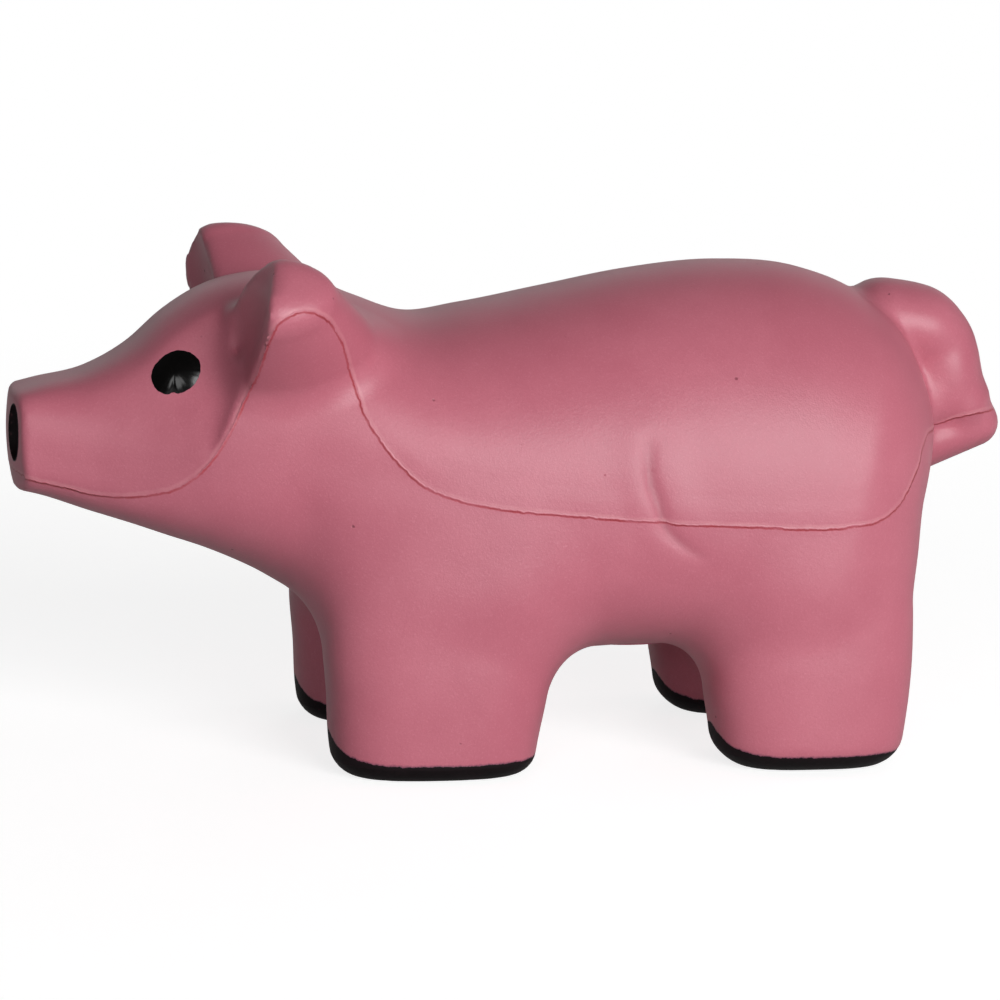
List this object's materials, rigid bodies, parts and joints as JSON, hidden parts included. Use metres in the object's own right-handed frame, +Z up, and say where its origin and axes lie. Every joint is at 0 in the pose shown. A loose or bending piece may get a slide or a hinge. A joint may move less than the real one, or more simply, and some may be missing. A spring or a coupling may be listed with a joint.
{
  "type": "vibrating squeeze toy pig",
  "caption": "Soft foam pig that vibrates: a sealed capsule in the trunk holds cells, a motor with an offset weight and a press switch.",
  "frame": {"origin": "on the ground under the middle of the toy's length and width", "axes": "+Z up from the soles, snout towards -X and tail towards +X, the pig's left side towards -Y"},
  "size_m": [0.121, 0.0526, 0.0602],
  "materials": {
    "pink_foam": "matte skinned polyurethane foam, dusty pink",
    "pink_plastic": "matte moulded plastic, dusty pink",
    "eye_gloss": "glossy black paint lens",
    "black_paint": "satin black paint film",
    "white_plastic": "satin moulded plastic, off white",
    "black_rubber": "matte black rubber",
    "brass_sheet": "stamped brass sheet",
    "steel_wire": "plated spring wire",
    "bright_steel": "plated steel",
    "green_board": "green solder mask over glass-fibre board",
    "black_plastic": "black moulded resin",
    "grey_plastic": "grey moulded plastic",
    "dark_magnet": "dark sintered ferrite",
    "copper_winding": "enamelled copper winding",
    "red_lead": "red wire insulation",
    "black_lead": "black wire insulation"
  },
  "bodies": {
    "pig": {"foam_body": "pink_foam", "eye_left": "eye_gloss", "eye_right": "eye_gloss", "nostril_left": "black_paint", "nostril_right": "black_paint", "sole_front_left": "black_paint", "sole_front_right": "black_paint", "sole_rear_left": "black_paint", "sole_rear_right": "black_paint", "capsule_lower_shell": "white_plastic", "capsule_upper_shell": "white_plastic", "button_cell_1": "bright_steel", "button_cell_2": "bright_steel", "button_cell_3": "bright_steel", "positive_contact": "brass_sheet", "contact_strip": "brass_sheet", "circuit_board": "green_board", "board_screw_1": "bright_steel", "board_screw_2": "bright_steel", "timer_chip": "black_plastic", "switch_body": "black_plastic", "button_spring": "steel_wire", "shell_screw_1": "bright_steel", "shell_screw_2": "bright_steel", "shell_screw_3": "bright_steel", "motor_can": "bright_steel", "motor_end_cap": "black_plastic", "motor_magnet": "dark_magnet", "motor_sleeve": "black_rubber", "motor_lead_positive": "red_lead", "motor_lead_negative": "black_lead"},
    "cap": {"battery_cap": "pink_plastic", "cap_gasket": "black_rubber", "cap_contact_plate": "brass_sheet", "contact_spring": "steel_wire"},
    "button": {"push_button": "grey_plastic", "button_clip": "steel_wire", "switch_plunger": "grey_plastic"},
    "rotor": {"rotor_core": "copper_winding", "rotor_shaft": "bright_steel", "eccentric_weight": "bright_steel"}
  },
  "joints": [
    {"name": "cap_turn", "type": "hinge", "parent": "pig", "child": "cap", "pos_m": [0.013, 0, 0.0155], "axis": [0, 0, -1], "range_deg": [0, 45]},
    {"name": "button_press", "type": "slide", "parent": "pig", "child": "button", "axis": [0, 0, -1], "range_m": [0, 0.001], "stiffness_N_per_m": 600, "deforming": ["button_spring"]},
    {"name": "rotor_spin", "type": "hinge", "parent": "pig", "child": "rotor", "pos_m": [0.0245, 0, 0.0405], "axis": [0, 0, 1], "continuous": true}
  ]
}
